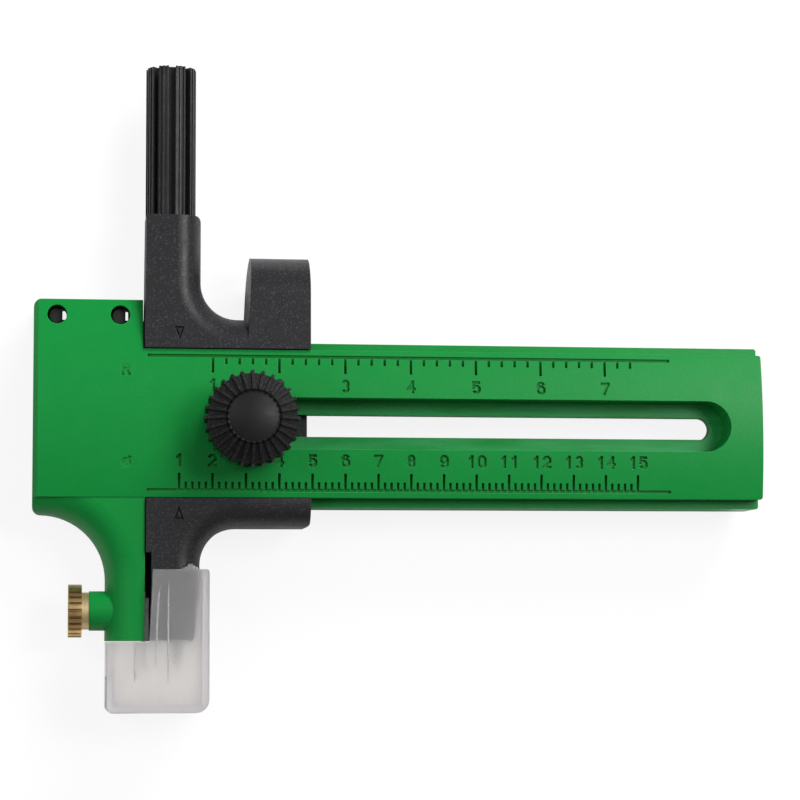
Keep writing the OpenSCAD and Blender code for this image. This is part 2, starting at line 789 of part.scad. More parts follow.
module upper_half() {
    side = slider_x + sleeve_w;
    difference() {
        translate([0, 0, back_t]) linear_extrude(front_z - back_t) {
            translate([slider_x, bar_in]) square([slider_len, upper_out - bar_in]);
            difference() {
                polygon([[slider_x, bar_in], [slider_x + sleeve_draft, sleeve_top],
                         [side, sleeve_top], [side, bar_in]]);
                translate([side, sleeve_top]) mirror([1, 0]) mirror([0, 1]) corner_waste(sleeve_corner);
            }
            fillet_2d(side, upper_out, sleeve_fillet);
        }
        edge_waste(side, upper_out, sleeve_fillet, slider_end + 1, sleeve_top + 1, front_z, edge_round);
        translate([0, 0, back_t]) mirror([0, 0, 1])
            edge_waste(side, upper_out, sleeve_fillet, slider_end + 1, sleeve_top + 1, 0, back_bevel, true);
        translate([slider_x, sleeve_top + 1, back_t]) rotate([90, 0, 0])
            linear_extrude(sleeve_top + 1 - upper_out) corner_waste(sleeve_round);
    }
}

// The thumb tab is as thick as the whole slider, and half round at its top
module thumb_tab() {
    tab_r = front_z / 2;
    intersection() {
        linear_extrude(front_z)
            polygon([[slider_x + tab_x, bar_in], [slider_x + tab_x + tab_slant, tab_top],
                     [slider_end, tab_top], [slider_end, bar_in]]);
        union() {
            translate([slider_x, bar_in, 0]) cube([slider_len, tab_top - tab_r - bar_in, front_z]);
            translate([slider_x, tab_top - tab_r, tab_r]) rotate([0, 90, 0])
                cylinder(h = slider_len, r = tab_r);
        }
    }
}

module lower_half() {
    left = slider_x + lower_step;
    leg_side = needle_leg_x + needle_leg_w;
    difference() {
        translate([0, 0, back_t]) linear_extrude(front_z - back_t) {
            translate([left, bar_in]) square([slider_end - left, lower_out - bar_in]);
            polygon([[left, bar_in], [leg_side, bar_in], [leg_side, cap_top],
                     [leg_side - needle_leg_taper, leg_len], [left, leg_len]]);
            fillet_2d(leg_side, lower_out, leg_fillet);
        }
        // Room for the blade clamp, with a ledge left behind it
        span([left - 1, leg_len - clamp_room, back_t + ledge_t], [needle_leg_x, leg_len + 1, front_z + 1]);
        edge_waste(leg_side, lower_out, leg_fillet, slider_end + 1, leg_len + 1, front_z, edge_round);
        translate([0, 0, back_t]) mirror([0, 0, 1])
            edge_waste(leg_side, lower_out, leg_fillet, slider_end + 1, leg_len + 1, 0, back_bevel, true);
        translate([slider_end, lower_out, 0]) linear_extrude(front_z + 1)
            mirror([1, 0]) mirror([0, 1]) corner_waste(bar_corner);
    }
}

// A pointer: an outlined triangle with its tip at the origin, pointing down
module pointer_2d() {
    t = pointer_line;
    difference() {
        polygon([[0, 0], [pointer_w / 2, pointer_h], [-pointer_w / 2, pointer_h]]);
        polygon([[0, 2.6 * t], [pointer_w / 2 - 1.3 * t, pointer_h - t],
                 [1.3 * t - pointer_w / 2, pointer_h - t]]);
    }
}

module slider() color("#3a3a3d") placed() difference() {
    union() {
        difference() {
            union() {
                span([slider_x, plate_inset - lower_out, 0],
                     [slider_end, upper_out - plate_inset, back_t + e]);
                upper_half();
                thumb_tab();
                mirror([0, 1, 0]) lower_half();
            }
            // Passage for the arm
            span([slider_x - 1, -rail_room, back_t], [slider_end + 1, rail_room, rail_z + slide_gap]);
        }
        // Guide rib in the arm's channel
        span([slider_x, -channel_w / 2 + slide_gap, back_t - e],
             [slider_end, channel_w / 2 - slide_gap, channel_z - slide_gap]);
    }
    // The left side stays clear of the blade leg
    span([slider_x - 1, -leg_len - 1, -1], [slider_x + lower_step, slide_gap - face_y, front_z + 1]);
    // Clamp bolt
    translate([bolt_x, 0, -1]) cylinder(h = front_z, d = bolt_d + 4 * bolt_gap);
    hexagon(bolt_x, -1, hex_t + 0.3, hex_af + 0.2);
    // Grip and needle seats
    along_y(grip_cx, sleeve_top - spigot_len - 0.5, sleeve_top + 1, spigot_d - 2 * squeeze);
    along_y(min_radius, -leg_len - 1, needle_seat - leg_len + 0.5, needle_d - 2 * squeeze);
    // Pointers on both sides of the scales
    for (s = [0, 1]) mirror([0, s, 0])
        translate([min_radius, bar_in + 1.2, front_z - engrave]) linear_extrude(1) pointer_2d();
}

// The ribbed grip, with a plain spigot in the slider's sleeve
module grip_post() color("#2d2d2e") placed() {
    lobe = 360 / lobes;
    translate([grip_cx, sleeve_top, axis_z]) rotate([-90, 0, 0]) linear_extrude(grip_len)
        difference() {
            circle(d = grip_d);
            for (i = [0:lobes - 1]) rotate(-90 + i * lobe) {
                translate([grip_d / 2 - lobe_depth, -lobe_gap / 2]) square([grip_d, lobe_gap]);
                for (s = [-1, 1]) rotate(lobe / 2 + s * lobe / 8)
                    translate([grip_d / 2 - fine_depth, -fine_w / 2]) square([grip_d, fine_w]);
            }
        }
    along_y(grip_cx, sleeve_top - spigot_len, sleeve_top + e, spigot_d);
}

module pivot_needle() color("#c8ccd0") placed() {
    cone_len = 2.2 * needle_d;
    along_y(min_radius, -needle_tip + cone_len, needle_seat - leg_len, needle_d);
    translate([min_radius, cone_len - needle_tip, axis_z]) rotate([90, 0, 0])
        cylinder(h = cone_len, d1 = needle_d, d2 = 0.1);
}

// The clamp: a bolt through slider, slot and washer, and a ribbed knob with a moulded-in nut

nut_z = knob_z + nut_up;
bolt_end = nut_z + nut_len + bolt_over;

module lock_bolt() color("#b9bcc0") placed() {
    hexagon(bolt_x, 0.3, hex_t + 0.3, hex_af);
    translate([bolt_x, 0, hex_t]) cylinder(h = bolt_end - hex_t, d = bolt_d);
}

module lock_washer() color("#b9bcc0") placed() translate([bolt_x, 0, floor_z]) difference() {
    cylinder(h = washer_t, d = washer_d);
    translate([0, 0, -1]) cylinder(h = washer_t + 2, d = bolt_d + 2 * bolt_gap);
}

module lock_knob() color("#262427") placed() translate([bolt_x, 0, 0]) {
    core_r = knob_d / 2 - rib_h;
    dome_r = dome_d / 2;
    difference() {
        union() {
            translate([0, 0, floor_z + washer_t]) cylinder(h = knob_z - floor_z, d = hub_d);
            translate([0, 0, knob_z]) cylinder(h = knob_side, r1 = core_r - knob_draft, r2 = core_r);
            translate([0, 0, rim_z]) cylinder(h = knob_cone, r1 = core_r, r2 = dome_r);
            // The dome is a slice of a sphere
            ball_r = (dome_r * dome_r + knob_dome * knob_dome) / (2 * knob_dome);
            intersection() {
                translate([0, 0, top_z - ball_r]) sphere(ball_r);
                translate([0, 0, cone_z - e]) cylinder(h = knob_dome + 1, r = dome_r);
            }
            for (i = [0:knob_ribs - 1]) rotate(90 + i * 360 / knob_ribs) knob_rib(core_r, dome_r);
        }
        translate([0, 0, floor_z]) cylinder(h = bolt_end + 1 - floor_z, d = bolt_d + 4 * bolt_gap);
        translate([0, 0, nut_z]) cylinder(h = nut_len, d = (hex_af - 2 * squeeze) / cos(30), $fn = 6);
    }
}

// One rib: up the knob's side, over the rim and along the cone, getting lower towards the dome
module knob_rib(core_r, dome_r) {
    rotate([90, 0, 0]) translate([0, 0, -rib_t / 2]) linear_extrude(rib_t)
        polygon([[core_r - knob_draft - 0.5, knob_z + 0.4], [core_r - knob_draft + rib_h, knob_z + 0.4],
                 [core_r + rib_h, rim_z - 0.2], [core_r + rib_h * 0.5, rim_z + 0.4],
                 [dome_r + 0.3, cone_z + 0.24], [dome_r - 0.1, cone_z + 0.1], [dome_r - 0.2, cone_z - 0.2],
                 [core_r - 1, rim_z - 0.5]]);
}

module knob_nut() color("#c9a24a") placed() difference() {
    hexagon(bolt_x, nut_z, nut_z + nut_len, hex_af);
    translate([bolt_x, 0, nut_z - 1]) cylinder(h = nut_len + 2, d = bolt_d + 2 * bolt_gap);
}

// The cap: a shell round the needle leg, open towards the blade, and a trough under both legs
module safety_cap() color([0.85, 0.85, 0.85, 0.6]) placed() {
    z0 = back_t - cap_gap - cap_wall;
    z1 = front_z + cap_gap + cap_wall;
    left = leg_left + cap_step;
    trough_y = -leg_len - cap_seat;
    slant = 0.5;
    difference() {
        translate([0, 0, z0]) linear_extrude(z1 - z0) difference() {
            translate([left, -cap_bottom]) square([cap_right - left, cap_grip + cap_below]);
            // Above the trough the cap begins at the needle leg
            polygon([[left - 1, trough_y], [needle_leg_x - slant / 2, trough_y],
                     [needle_leg_x + slant / 2, -cap_top + 1], [left - 1, -cap_top + 1]]);
            translate([left, -cap_bottom]) corner_waste(cap_r_left);
            translate([cap_right, -cap_bottom]) mirror([1, 0]) corner_waste(cap_r_right);
            translate([cap_right, -cap_top]) mirror([1, 0]) mirror([0, 1]) corner_waste(0.5);
        }
        // Hollow
        translate([0, 0, z0 + cap_wall]) linear_extrude(z1 - z0 - 2 * cap_wall) {
            translate([left + cap_wall, -cap_bottom + cap_wall])
                square([cap_right - left - 2 * cap_wall, cap_below - cap_wall - cap_seat + e]);
            translate([needle_leg_x - 2, trough_y - 1])
                square([cap_right - cap_wall - needle_leg_x + 2, cap_grip + cap_seat + 3]);
        }
        // Slit that lets the blade out sideways when the slider moves
        span([left - 1, -blade_tip - slit_gap, axis_z - blade_w / 2 - slit_gap],
             [0, trough_y + 1, axis_z + blade_w / 2 + slit_gap]);
    }
    // Grip ribs on both walls, and a short rib on each side of the blade
    for (x = [2.0, 3.75], z = [z0 + cap_wall - e, z1 - cap_wall - cap_rib_h])
        span([x - cap_rib_w / 2, -blade_tip - 0.6, z],
             [x + cap_rib_w / 2, -cap_top - 1.4, z + cap_rib_h + e]);
    for (z = [z0 + cap_wall - e, z1 - cap_wall - 1.2])
        span([-1.5, -blade_tip - 0.6, z], [-1.1, trough_y - 0.3, z + 1.2 + e]);
}

arm_body();
storage_cover();
spare_blades();
cutting_blade();
clamp_nut();
clamp_collar();
clamp_screw();
slider();
grip_post();
pivot_needle();
lock_bolt();
lock_washer();
lock_knob();
knob_nut();
safety_cap();
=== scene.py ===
"""Looks of the compass cutter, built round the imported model.

Lengths are in metres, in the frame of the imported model, unless a name ends in _MM.
The scale face looks along +Z, and the grip points along +Y, up in the photograph.
Colours are linear red, green and blue.
"""
import math

import bpy
from mathutils import Euler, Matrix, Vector


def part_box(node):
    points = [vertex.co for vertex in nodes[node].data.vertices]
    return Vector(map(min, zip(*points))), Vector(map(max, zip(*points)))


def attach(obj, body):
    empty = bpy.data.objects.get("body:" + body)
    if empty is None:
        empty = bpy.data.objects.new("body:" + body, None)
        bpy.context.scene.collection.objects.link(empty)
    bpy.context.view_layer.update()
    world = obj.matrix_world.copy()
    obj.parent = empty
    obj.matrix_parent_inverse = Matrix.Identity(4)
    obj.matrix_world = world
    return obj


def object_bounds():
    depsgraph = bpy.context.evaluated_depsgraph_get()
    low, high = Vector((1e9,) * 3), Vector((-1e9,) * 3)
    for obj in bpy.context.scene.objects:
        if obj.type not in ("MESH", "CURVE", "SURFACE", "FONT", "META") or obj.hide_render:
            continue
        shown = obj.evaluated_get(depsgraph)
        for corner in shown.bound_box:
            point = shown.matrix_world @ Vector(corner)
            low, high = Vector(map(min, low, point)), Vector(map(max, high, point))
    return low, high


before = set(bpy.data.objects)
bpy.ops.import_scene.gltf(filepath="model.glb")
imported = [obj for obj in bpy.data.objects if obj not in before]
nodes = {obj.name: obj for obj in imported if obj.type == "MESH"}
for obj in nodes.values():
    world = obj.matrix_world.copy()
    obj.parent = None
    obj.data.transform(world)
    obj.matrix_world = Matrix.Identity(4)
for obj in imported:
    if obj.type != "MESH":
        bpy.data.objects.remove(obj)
cad_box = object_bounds()
scene = bpy.context.scene
scene.view_settings.view_transform = "Standard"

MM = 0.001


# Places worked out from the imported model, with the source's crown and dome

CROWN = 1.0 * MM
DOME_RADIUS = 3.75 * MM

blade_low, blade_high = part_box("cutting_blade")
washer_low, washer_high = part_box("lock_washer")
_, arm_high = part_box("arm_body")
cap_low, cap_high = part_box("safety_cap")
knob_low, knob_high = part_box("lock_knob")

blade_x = (blade_low.x + blade_high.x) / 2
centre_y = (washer_low.y + washer_high.y) / 2
scale_z = arm_high.z - CROWN
view_origin = Vector((blade_x, centre_y, scale_z))
recess_floor_z = washer_low.z
knob_x = (knob_low.x + knob_high.x) / 2
knob_y = (knob_low.y + knob_high.y) / 2


# Camera, at the photograph's viewing angle

EYE = Vector((-0.015530, -0.034528, 0.388776))
EYE_TURN_DEGREES = (5.59847, -7.87332, -0.22599)
LENS_MM = 117.077
SENSOR_MM = 36.0
NEAREST = 0.01
FARTHEST = 20.0


def make_camera():
    data = bpy.data.cameras.new("camera")
    data.lens = LENS_MM
    data.sensor_width = SENSOR_MM
    data.clip_start = NEAREST
    data.clip_end = FARTHEST
    obj = bpy.data.objects.new("camera", data)
    scene.collection.objects.link(obj)
    obj.location = view_origin + EYE
    obj.rotation_euler = Euler([math.radians(a) for a in EYE_TURN_DEGREES], "XYZ")
    scene.camera = obj


# Node trees

# Most of a noise lies between these two values
PATCH_START = 0.3
PATCH_END = 0.7
EDGE_SAMPLES = 6
HOLLOW_SAMPLES = 8


class Nodes:
    """Builds the node tree of one material."""

    def __init__(self, name):
        self.material = bpy.data.materials.new(name)
        self.material.use_nodes = True
        self.tree = self.material.node_tree
        self.tree.nodes.clear()
        self.output = self.tree.nodes.new("ShaderNodeOutputMaterial")

    def add(self, kind, inputs=None, **settings):
        """One node. Inputs are numbers, colours or other nodes' outputs."""
        node = self.tree.nodes.new("ShaderNode" + kind)
        for name, value in settings.items():
            setattr(node, name, value)
        for name, value in (inputs or {}).items():
            socket = node.inputs[name]
            if isinstance(value, bpy.types.NodeSocket):
                self.tree.links.new(value, socket)
            else:
                socket.default_value = value
        return node

    def place(self, stretch=(1, 1, 1)):
        """Object coordinates, stretched along each axis."""
        point = self.add("TexCoord").outputs["Object"]
        inputs = {"Vector": point, "Scale": stretch}
        return self.add("Mapping", inputs).outputs["Vector"]

    def noise(self, scale, detail=2.0, stretch=(1, 1, 1)):
        """Noise with about as many features in a metre as scale says."""
        inputs = {"Vector": self.place(stretch), "Scale": scale, "Detail": detail}
        return self.add("TexNoise", inputs).outputs["Fac"]

    def ramp(self, value, start, end, low=0.0, high=1.0):
        """The value between start and end, turned into low to high."""
        inputs = {
            "Value": value,
            "From Min": start,
            "From Max": end,
            "To Min": low,
            "To Max": high,
        }
        return self.add("MapRange", inputs).outputs["Result"]

    def spread(self, noise, low=0.0, high=1.0):
        """A noise, spread over low to high."""
        return self.ramp(noise, PATCH_START, PATCH_END, low, high)

    def math(self, operation, first, second=0.0):
        inputs = {0: first, 1: second}
        return self.add("Math", inputs, operation=operation).outputs[0]

    def mix(self, amount, first, second):
        """Colour mixed from two colours."""
        node = self.add("MixRGB", {"Fac": amount})
        for name, value in (("Color1", first), ("Color2", second)):
            if isinstance(value, bpy.types.NodeSocket):
                self.tree.links.new(value, node.inputs[name])
            else:
                node.inputs[name].default_value = (*value[:3], 1)
        return node.outputs["Color"]

    def soft_edges(self, radius):
        """Normals that run round the edges, as on a moulded part."""
        return self.add("Bevel", {"Radius": radius}, samples=EDGE_SAMPLES).outputs["Normal"]

    def edge_mask(self, radius, start, end):
        """1 on outer and inner edges, 0 on open surfaces."""
        around = self.soft_edges(radius)
        straight = self.add("NewGeometry").outputs["Normal"]
        inputs = {0: around, 1: straight}
        dot = self.add("VectorMath", inputs, operation="DOT_PRODUCT").outputs["Value"]
        return self.ramp(self.math("SUBTRACT", 1.0, dot), start, end)

    def wear_and_highlight_edges(self, radius, start, end, scale, least, most):
        """Edges in patches, from least to most, and 0 on open surfaces: wear together with a
        painted highlight.
        """
        patches = self.spread(self.noise(scale), least, most)
        return self.math("MULTIPLY", self.edge_mask(radius, start, end), patches)

    def hollows(self, distance, start, end, most):
        """Up to most in grooves and engraving, 0 on open surfaces."""
        inputs = {"Distance": distance}
        node = self.add("AmbientOcclusion", inputs, samples=HOLLOW_SAMPLES, only_local=True)
        return self.ramp(node.outputs["AO"], start, end, most, 0.0)

    def near_sides(self, low, high, start, end):
        """1 up to start from the left, right and -Y sides of a box, 0 beyond end."""
        place = self.add("SeparateXYZ", {0: self.place()}).outputs
        from_left = self.math("SUBTRACT", place["X"], low.x)
        from_right = self.math("SUBTRACT", high.x, place["X"])
        across = self.math("MINIMUM", from_left, from_right)
        nearest = self.math("MINIMUM", across, self.math("SUBTRACT", place["Y"], low.y))
        return self.ramp(nearest, start, end, 1.0, 0.0)

    def level(self, z, start, end):
        """1 up to start from a height, 0 beyond end."""
        height = self.add("SeparateXYZ", {0: self.place()}).outputs["Z"]
        away = self.math("ABSOLUTE", self.math("SUBTRACT", height, z))
        return self.ramp(away, start, end, 1.0, 0.0)

    def radius(self, x, y):
        """Distance from an upright line through x and y."""
        centred = self.add("VectorMath", {0: self.place(), 1: (x, y, 0)}, operation="SUBTRACT")
        inputs = {0: centred.outputs[0], 1: (1, 1, 0)}
        flat = self.add("VectorMath", inputs, operation="MULTIPLY")
        return self.add("VectorMath", {0: flat.outputs[0]}, operation="LENGTH").outputs["Value"]

    def roughened(self, roughness, mask, most):
        """Roughness that rises to most where the mask is 1."""
        return self.math("MAXIMUM", roughness, self.math("MULTIPLY", mask, most))

    def relief(self, pattern, height, edge_radius, strength):
        """Normals with a pattern's relief and with soft edges."""
        inputs = {
            "Strength": strength,
            "Distance": height,
            "Height": pattern,
            "Normal": self.soft_edges(edge_radius),
        }
        return self.add("Bump", inputs).outputs["Normal"]

    def principled(self, colour, roughness, normal, **sockets):
        """The finished material. An underscore in a socket's name stands for a space."""
        inputs = {"Base Color": colour, "Roughness": roughness, "Normal": normal}
        shader = self.add("BsdfPrincipled", inputs)
        for name, value in sockets.items():
            shader.inputs[name.replace("_", " ")].default_value = value
        self.tree.links.new(shader.outputs["BSDF"], self.output.inputs["Surface"])
        return self.material


# Stage and light

FLOOR_HALF = 3.0
FLOOR_GAP = 0.3 * MM
FLOOR_COLOUR = (0.8, 0.8, 0.8, 1)
FLOOR_GLOW = 0.1
BACKDROP_COLOUR = (0.17, 0.17, 0.17, 1)
BACKDROP_GLOW = 0.87
WHITE = (1, 1, 1, 1)
WORLD_STRENGTH = 0.14

# Name, place, side lengths, watts, and whether it is seen in reflections
LAMPS = (
    ("key", (0.23, 0.48, 0.30), (0.34, 0.24), 3.3, False),
    ("gloss", (0.55, 0.25, 0.90), (0.4, 0.4), 4.4, True),
    ("left_gloss", (-0.50, 0.30, 0.85), (0.3, 0.3), 1.0, True),
    ("side", (-0.70, 0.05, 0.50), (0.4, 0.4), 1.3, False),
)


def lit_and_glowing(n, colour, strength):
    """A matte surface that also shines by itself."""
    matte = n.add("BsdfDiffuse", {"Color": colour}).outputs[0]
    glow = n.add("Emission", {"Color": WHITE, "Strength": strength}).outputs[0]
    return n.add("AddShader", {0: matte, 1: glow}).outputs[0]


def floor_white():
    """A pale matte floor, near white where it is seen straight or through the cap.

    It keeps the object's shadow, and glows faintly in reflections.
    """
    n = Nodes("floor_white")
    path = n.add("LightPath").outputs
    seen = n.math("MAXIMUM", path["Is Camera Ray"], path["Is Transmission Ray"])
    matte = n.add("BsdfDiffuse", {"Color": FLOOR_COLOUR}).outputs[0]
    mirrored = lit_and_glowing(n, FLOOR_COLOUR, FLOOR_GLOW)
    backdrop = lit_and_glowing(n, BACKDROP_COLOUR, BACKDROP_GLOW)
    near = n.add("MixShader", {0: path["Is Glossy Ray"], 1: matte, 2: mirrored}).outputs[0]
    mixed = n.add("MixShader", {0: seen, 1: near, 2: backdrop}).outputs[0]
    n.tree.links.new(mixed, n.output.inputs["Surface"])
    return n.material


def make_floor():
    half = FLOOR_HALF
    z = cad_box[0][2] - FLOOR_GAP
    corners = [(-half, -half, z), (half, -half, z), (half, half, z), (-half, half, z)]
    mesh = bpy.data.meshes.new("floor")
    mesh.from_pydata(corners, [], [(0, 1, 2, 3)])
    mesh.materials.append(floor_white())
    floor = bpy.data.objects.new("floor", mesh)
    scene.collection.objects.link(floor)


def make_world():
    """A faint light from all round, seen as white past the floor's edge."""
    world = bpy.data.worlds.new("world")
    scene.world = world
    world.use_nodes = True
    tree = world.node_tree
    background = tree.nodes["Background"]
    background.inputs["Color"].default_value = WHITE
    path = tree.nodes.new("ShaderNodeLightPath")
    strength = tree.nodes.new("ShaderNodeMath")
    strength.operation = "MAXIMUM"
    strength.inputs[1].default_value = WORLD_STRENGTH
    tree.links.new(path.outputs["Is Camera Ray"], strength.inputs[0])
    tree.links.new(strength.outputs[0], background.inputs["Strength"])


def make_lamp(name, place, size, watts, in_reflections):
    """A soft rectangular lamp, aimed at the frame's origin."""
    data = bpy.data.lights.new(name, "AREA")
    data.energy = watts
    data.shape = "RECTANGLE"
    data.size, data.size_y = size
    obj = bpy.data.objects.new(name, data)
    scene.collection.objects.link(obj)
    obj.location = place
    aim = -Vector(place)
    obj.rotation_euler = aim.to_track_quat("-Z", "Y").to_euler()
    obj.visible_glossy = in_reflections


# Colours

GREEN = (0.0030, 0.243, 0.037)
GREEN_CLOUD = (0.0045, 0.262, 0.042)
GREEN_GRAIN = (0.012, 0.330, 0.070)
# Rub marks and painted light on the recess floor
GREEN_RUBBED_AND_LIT = (0.055, 0.400, 0.140)
# Edge colour: wear and a painted highlight
GREEN_EDGE = (0.090, 0.500, 0.180)
# Painted shade in hollows
GREEN_SHADE = (0.0003, 0.190, 0.012)

BLACK = (0.0185, 0.0185, 0.0205)
BLACK_CLOUD = (0.0235, 0.0235, 0.0260)
BLACK_SPECK = (0.085, 0.085, 0.090)
# Painted shade in hollows
BLACK_SHADE = (0.004, 0.004, 0.0045)
# Rim colour: wear and a painted highlight
BLACK_EDGE = (0.110, 0.110, 0.116)

KNOB = (0.0085, 0.0085, 0.0092)
KNOB_CLOUD = (0.0120, 0.0120, 0.0128)
KNOB_SPECK = (0.055, 0.046, 0.048)
# Painted shade in hollows
KNOB_SHADE = (0.0008, 0.0008, 0.0010)
# Rib edge colour: wear and a painted highlight
KNOB_EDGE = (0.120, 0.110, 0.110)
# Painted shade in the ring round the dome
KNOB_RING_SHADE = (0.0012, 0.0012, 0.0014)

COVER = (0.020, 0.020, 0.021)
COVER_SCUFF = (0.050, 0.050, 0.052)
COVER_EDGE = (0.09, 0.09, 0.092)

BLADE = (0.52, 0.50, 0.47)
BLADE_TARNISH = (0.34, 0.29, 0.24)
NEEDLE = (0.62, 0.62, 0.64)
NEEDLE_TARNISH = (0.45, 0.45, 0.47)
ZINC = (0.56, 0.57, 0.60)
ZINC_SPOT = (0.40, 0.41, 0.44)

BRASS = (0.95, 0.72, 0.36)
BRASS_TARNISH = (0.78, 0.52, 0.22)
# Painted shade in the grooves
BRASS_SHADE = (0.20, 0.10, 0.03)
# Collar brass, lighter than the screw's as a painted highlight
COLLAR = (0.98, 0.82, 0.50)
COLLAR_TARNISH = (0.92, 0.70, 0.38)

CLEAR = (0.985, 0.955, 0.925)
CLEAR_HAZE = (1.0, 0.985, 0.955)
# Painted shade along the cap's sides
CLEAR_SIDE_SHADE = (0.87, 0.84, 0.83)
CLEAR_STREAK = (0.90, 0.89, 0.89)
CLEAR_SHEEN = (0.45, 0.50, 1.0, 1.0)
# Whiter rib plastic: a painted highlight along the cap's ribs
RIB_HIGHLIGHT = (0.86, 0.87, 0.90)
RIB_HIGHLIGHT_HAZE = (0.97, 0.97, 0.98)


# Materials

# Radii at which the ring of painted shade round the knob's dome is full, starts to fade and ends
RING_FULL = DOME_RADIUS + 0.1 * MM
RING_FADE = DOME_RADIUS + 0.3 * MM
RING_END = DOME_RADIUS + 0.5 * MM


def green_plastic():
    """Satin moulded green, paler on edges from wear and a painted highlight, paler on the recess
    floor from rub marks and painted light, with painted shade in its engraving.
    """
    n = Nodes("green_plastic")
    cloud = n.spread(n.noise(scale=45, detail=3))
    grain = n.ramp(n.noise(scale=2600, detail=3), start=0.25, end=0.75)
    base = n.mix(cloud, GREEN, GREEN_CLOUD)
    base = n.mix(n.math("MULTIPLY", grain, 0.25), base, GREEN_GRAIN)
    # Recess floor paler in streaks: rub marks from the washer, and painted light that lifts its
    # shade
    rubs_and_light = n.spread(n.noise(scale=420, detail=4, stretch=(0.2, 1.6, 1)), high=0.6)
    recess_floor = n.level(recess_floor_z, start=0.025 * MM, end=0.05 * MM)
    base = n.mix(n.math("MULTIPLY", recess_floor, rubs_and_light), base, GREEN_RUBBED_AND_LIT)
    # Paler edges: wear, and a painted highlight along edges and the engraving's rims
    wear_and_highlight = n.wear_and_highlight_edges(radius=0.16 * MM, start=0.06, end=0.25, scale=700, least=0.3, most=0.8)
    base = n.mix(wear_and_highlight, base, GREEN_EDGE)
    # Painted shade: darker green in engraving, grooves and corners
    hollows = n.hollows(distance=0.5 * MM, start=0.45, end=0.80, most=0.9)
    base = n.mix(hollows, base, GREEN_SHADE)
    roughness = n.spread(n.noise(scale=320, detail=4), low=0.30, high=0.38)
    roughness = n.roughened(roughness, hollows, most=0.9)
    grain = n.noise(scale=2400, detail=3)
    normal = n.relief(grain, height=0.016 * MM, edge_radius=0.12 * MM, strength=0.8)
    return n.principled(base, roughness, normal, IOR=1.40, Specular_IOR_Level=0.42)


def black_plastic():
    """Finely grained black with light specks, pale rims from wear and a painted highlight, and
    painted shade in its hollows.
    """
    n = Nodes("black_plastic")
    cloud = n.spread(n.noise(scale=60, detail=3))
    base = n.mix(cloud, BLACK, BLACK_CLOUD)
    specks = n.ramp(n.noise(scale=3400, detail=1.5), start=0.57, end=0.68, high=0.5)
    base = n.mix(specks, base, BLACK_SPECK)
    # Painted shade: darker in grooves and corners
    hollows = n.hollows(distance=0.5 * MM, start=0.4, end=0.9, most=0.8)
    base = n.mix(hollows, base, BLACK_SHADE)
    # Pale rims: wear and a painted highlight
    wear_and_highlight = n.wear_and_highlight_edges(radius=0.16 * MM, start=0.05, end=0.25, scale=900, least=0.1, most=0.5)
    base = n.mix(wear_and_highlight, base, BLACK_EDGE)
    roughness = n.spread(n.noise(scale=500, detail=4), low=0.34, high=0.44)
    grain = n.noise(scale=3000, detail=2)
    normal = n.relief(grain, height=0.02 * MM, edge_radius=0.16 * MM, strength=0.8)
    return n.principled(base, roughness, normal, IOR=1.43)


def knob_plastic():
    """Darker black with a specked skirt, rib edges paler from wear and a painted highlight,
    painted shade in its grooves and a ring of painted shade round the dome.
    """
    n = Nodes("knob_plastic")
    cloud = n.spread(n.noise(scale=90, detail=3))
    base = n.mix(cloud, KNOB, KNOB_CLOUD)
    radius = n.radius(knob_x, knob_y)
    skirt = n.ramp(radius, DOME_RADIUS, RING_FULL)
    specks = n.ramp(n.noise(scale=3600, detail=1.5), start=0.52, end=0.68, high=0.8)
    base = n.mix(n.math("MULTIPLY", specks, skirt), base, KNOB_SPECK)
    # Painted shade: darker in the grooves between the ribs
    hollows = n.hollows(distance=0.4 * MM, start=0.55, end=0.95, most=0.95)
    base = n.mix(hollows, base, KNOB_SHADE)
    # Paler rib edges: wear and a painted highlight
    wear_and_highlight = n.wear_and_highlight_edges(radius=0.07 * MM, start=0.06, end=0.3, scale=1100, least=0.1, most=0.8)
    base = n.mix(wear_and_highlight, base, KNOB_EDGE)
    # A ring of painted shade where the ribs meet the dome
    ring_shade = n.math("SUBTRACT", skirt, n.ramp(radius, RING_FADE, RING_END))
    base = n.mix(ring_shade, base, KNOB_RING_SHADE)
    roughness = n.spread(n.noise(scale=650, detail=4), low=0.42, high=0.52)
    roughness = n.roughened(roughness, ring_shade, most=0.9)
    roughness = n.roughened(roughness, hollows, most=0.75)
    grain = n.noise(scale=1900, detail=3)
    normal = n.relief(grain, height=0.012 * MM, edge_radius=0.07 * MM, strength=0.6)
    return n.principled(base, roughness, normal, IOR=1.40)


def cover_plastic():
    """Dull black cover on the back, with fine scuffs along it."""
    n = Nodes("cover_plastic")
    scratches = n.noise(scale=300, detail=5, stretch=(0.25, 2.5, 1))
    scuffs = n.ramp(scratches, start=0.55, end=0.75, high=0.5)
    base = n.mix(scuffs, COVER, COVER_SCUFF)
    edges = n.edge_mask(radius=0.2 * MM, start=0.02, end=0.16)
    base = n.mix(n.math("MULTIPLY", edges, 0.5), base, COVER_EDGE)
    roughness = n.spread(n.noise(scale=420, detail=4), low=0.46, high=0.6)
    grain = n.noise(scale=1700, detail=3)
    normal = n.relief(grain, height=0.025 * MM, edge_radius=0.2 * MM, strength=0.8)
    return n.principled(base, roughness, normal)


def blade_steel():
    """Ground carbon steel with brownish tarnish and grinding lines."""
    n = Nodes("blade_steel")
    lines = n.noise(scale=500, detail=4, stretch=(1, 0.12, 6))
    tarnish = n.ramp(n.noise(scale=260, detail=4), start=0.4, end=0.7)
    base = n.mix(tarnish, BLADE, BLADE_TARNISH)
    roughness = n.spread(lines, low=0.26, high=0.44)
    normal = n.relief(lines, height=0.01 * MM, edge_radius=0.05 * MM, strength=0.5)
    return n.principled(base, roughness, normal, Metallic=1.0)


